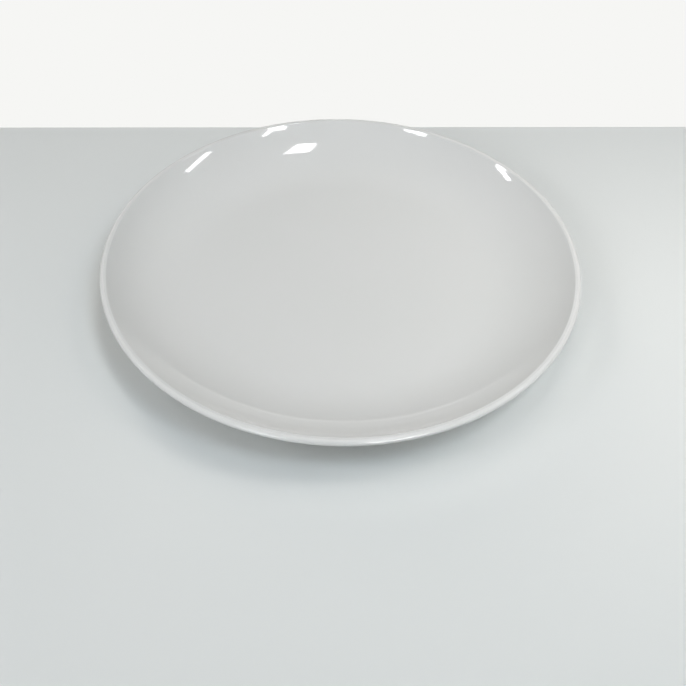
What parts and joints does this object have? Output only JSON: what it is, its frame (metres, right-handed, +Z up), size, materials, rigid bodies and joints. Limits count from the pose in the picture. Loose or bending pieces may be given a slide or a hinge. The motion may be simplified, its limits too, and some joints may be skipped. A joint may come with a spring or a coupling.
{
  "type": "dinner plate",
  "caption": "Round coupe dinner plate pressed in white melamine, with a flat well, a curved rising side, a slim rounded lip, a low foot ring and a clear glossy glaze over the eating face.",
  "frame": {"origin": "on the plate's axis, in the plane that the foot ring stands on", "axes": "+Z up along the plate's axis, from the foot ring to the lip; X and Y are alike, because the plate is round"},
  "size_m": [0.254, 0.254, 0.023],
  "materials": {
    "moulded_melamine": "satin white moulded melamine, buffed at the lip's ground land and at the foot ring",
    "melamine_glaze": "clear melamine overglaze, mirror smooth from the polished mould, over the white body"
  },
  "bodies": {
    "root": {"plate_body": "moulded_melamine", "face_glaze": "melamine_glaze"}
  },
  "joints": []
}
